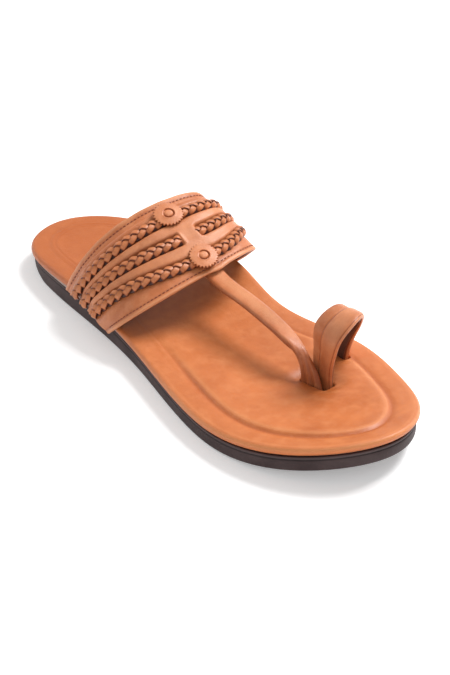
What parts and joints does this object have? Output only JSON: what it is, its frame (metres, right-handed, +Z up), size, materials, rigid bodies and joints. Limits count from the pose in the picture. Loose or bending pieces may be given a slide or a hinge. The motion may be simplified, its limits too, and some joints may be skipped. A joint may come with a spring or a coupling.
{
  "type": "toe loop sandal",
  "caption": "Leather toe-loop sandal for the right foot: padded instep band with plaited thongs and rosettes, toe strap and big-toe loop on a rubber sole.",
  "frame": {"origin": "on the ground face of the sole, under the middle of the sole", "axes": "+Z up, the toe points to -Y and the heel to +Y, +X is the big-toe side"},
  "size_m": [0.1046, 0.2819, 0.062],
  "materials": {
    "footbed_leather": "smooth tan glove leather, satin",
    "upper_leather": "smooth cognac upper leather, soft sheen",
    "braid_leather": "plaited cognac leather thongs",
    "lining_leather": "dark brown lining leather",
    "thread": "dark brown waxed thread",
    "sole_rubber": "matt dark brown rubber",
    "midsole_foam": "matt grey-beige foam rubber",
    "pad_foam": "soft latex foam",
    "board": "pressed cellulose board",
    "filler_felt": "felt filler"
  },
  "bodies": {
    "root": {"outsole": "sole_rubber", "midsole": "midsole_foam", "bottom_filler": "filler_felt", "insole_board": "board", "foam_pad": "pad_foam", "footbed_cover": "footbed_leather", "vamp_outer": "upper_leather", "vamp_padding": "pad_foam", "vamp_lining": "lining_leather", "rear_braid": "braid_leather", "centre_braid_lateral": "braid_leather", "centre_braid_medial": "braid_leather", "front_braid": "braid_leather", "rear_disc": "upper_leather", "front_disc": "upper_leather", "rear_stitching": "thread", "front_stitching": "thread", "toe_strap": "upper_leather", "toe_strap_lining": "lining_leather", "toe_loop_rear_band": "upper_leather", "toe_loop_front_band": "upper_leather", "toe_loop_lining": "lining_leather"}
  },
  "joints": []
}
